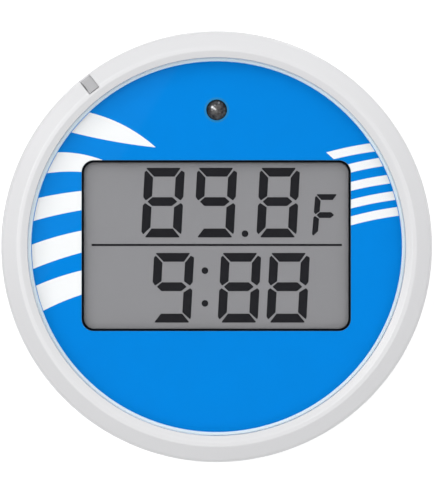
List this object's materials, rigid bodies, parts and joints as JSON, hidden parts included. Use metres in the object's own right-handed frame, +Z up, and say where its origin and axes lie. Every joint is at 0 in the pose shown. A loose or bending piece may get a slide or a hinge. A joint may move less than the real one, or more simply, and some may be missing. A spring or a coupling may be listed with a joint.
{
  "type": "floating pool thermometer",
  "caption": "Round float on a short stem: blue dial with a framed segment display under a clear lens, screwed white ring, keys below and a threaded battery cap in the foot.",
  "frame": {"origin": "centre of the flat foot, on the surface the float stands on", "axes": "+Z up through the lens, +Y towards twelve o'clock of the display, +X to its right"},
  "size_m": [0.1, 0.1, 0.08],
  "materials": {
    "hull_white": "glossy moulded ABS",
    "ring_white": "glossy moulded ABS",
    "tab_grey": "grey moulded index tab",
    "lens_clear": "clear polished acrylic",
    "seal_rubber": "soft black rubber",
    "face_white": "satin white moulding",
    "face_blue": "printed blue, satin",
    "stripe_white": "white print on the blue face",
    "frame_black": "satin black",
    "lcd_film": "polarizing film",
    "lcd_glass": "clear float glass",
    "lcd_backing": "grey reflector film",
    "segment_dark": "dark liquid crystal segments",
    "strip_rubber": "layered contact rubber",
    "board_green": "green solder mask",
    "epoxy_black": "poured black epoxy",
    "crystal_can": "plated can",
    "capacitor_tan": "ceramic chip",
    "resistor_black": "chip resistor",
    "switch_black": "black switch body",
    "screw_steel": "zinc plated steel",
    "sensor_smoke": "dark tinted epoxy dome",
    "tinned_wire": "tinned wire",
    "key_blue": "satin blue key",
    "silicone_grey": "grey silicone",
    "clamp_plastic": "black nylon",
    "probe_steel": "drawn stainless tube",
    "thermistor_epoxy": "epoxy dipped bead",
    "lead_black": "PVC insulated lead",
    "lead_red": "PVC insulated lead",
    "plug_white": "nylon connector",
    "ballast_steel": "plain steel ring",
    "retainer_foam": "soft retaining ring",
    "cell_can": "printed cell sleeve over a steel can",
    "holder_black": "black moulding",
    "contact_nickel": "nickel plated spring steel"
  },
  "bodies": {
    "float": {"head_shell": "hull_white", "stem_body": "hull_white", "lens_seal": "seal_rubber", "face_plate": "face_white", "face_overlay": "face_blue", "lcd_frame": "frame_black", "lcd_polarizer": "lcd_film", "lcd_front_glass": "lcd_glass", "lcd_rear_glass": "lcd_glass", "lcd_reflector": "lcd_backing", "contact_strip_upper": "strip_rubber", "contact_strip_lower": "strip_rubber", "circuit_board": "board_green", "controller_blob": "epoxy_black", "quartz_crystal": "crystal_can", "capacitors": "capacitor_tan", "resistors": "resistor_black", "tact_switches": "switch_black", "module_screws": "screw_steel", "light_sensor": "sensor_smoke", "light_sensor_leads": "tinned_wire", "keypad_seal": "silicone_grey", "keypad_clamp": "clamp_plastic", "keypad_screws": "screw_steel", "probe_tip": "probe_steel", "probe_grommet": "seal_rubber", "thermistor": "thermistor_epoxy", "probe_leads": "lead_black", "probe_plug": "plug_white", "ballast_ring": "ballast_steel", "ballast_retainer": "retainer_foam", "battery_a": "cell_can", "battery_b": "cell_can", "battery_holder": "holder_black", "top_contacts": "contact_nickel", "top_spring": "contact_nickel", "battery_leads": "lead_red"},
    "lens_carrier": {"lens": "lens_clear"},
    "bezel": {"bezel_ring": "ring_white", "index_tab": "tab_grey"},
    "contact_carrier": {"contact_disc": "holder_black", "bridge_plate": "contact_nickel", "bridge_spring": "contact_nickel"},
    "cap": {"battery_cap": "hull_white", "cap_seal": "seal_rubber"},
    "set_key": {"set_button": "key_blue", "set_plunger": "silicone_grey"},
    "plus_key": {"plus_button": "key_blue", "plus_plunger": "silicone_grey"},
    "unit_key": {"unit_button": "key_blue", "unit_plunger": "silicone_grey"}
  },
  "joints": [
    {"name": "lens_lift", "type": "slide", "parent": "float", "child": "lens_carrier", "axis": [0, 0, 1], "range_m": [0, 0.00452]},
    {"name": "bezel_turn", "type": "hinge", "parent": "lens_carrier", "child": "bezel", "pos_m": [0, 0, 0.0725], "axis": [0, 0, 1], "range_deg": [0, 540]},
    {"name": "contact_draw", "type": "slide", "parent": "float", "child": "contact_carrier", "axis": [0, 0, -1], "range_m": [0, 0.00377]},
    {"name": "cap_turn", "type": "hinge", "parent": "contact_carrier", "child": "cap", "pos_m": [0, 0, 0.003], "axis": [0, 0, -1], "range_deg": [0, 540]},
    {"name": "set_press", "type": "slide", "parent": "float", "child": "set_key", "axis": [0, 0, 1], "range_m": [0, 0.0005], "stiffness_N_per_m": 1200},
    {"name": "plus_press", "type": "slide", "parent": "float", "child": "plus_key", "axis": [0, 0, 1], "range_m": [0, 0.0005], "stiffness_N_per_m": 1200},
    {"name": "unit_press", "type": "slide", "parent": "float", "child": "unit_key", "axis": [0, 0, 1], "range_m": [0, 0.0005], "stiffness_N_per_m": 1200}
  ],
  "couplings": [
    {"joint": "lens_lift", "follows": "bezel_turn", "m_per_rad": 0.00047746},
    {"joint": "contact_draw", "follows": "cap_turn", "m_per_rad": 0.00039789}
  ]
}
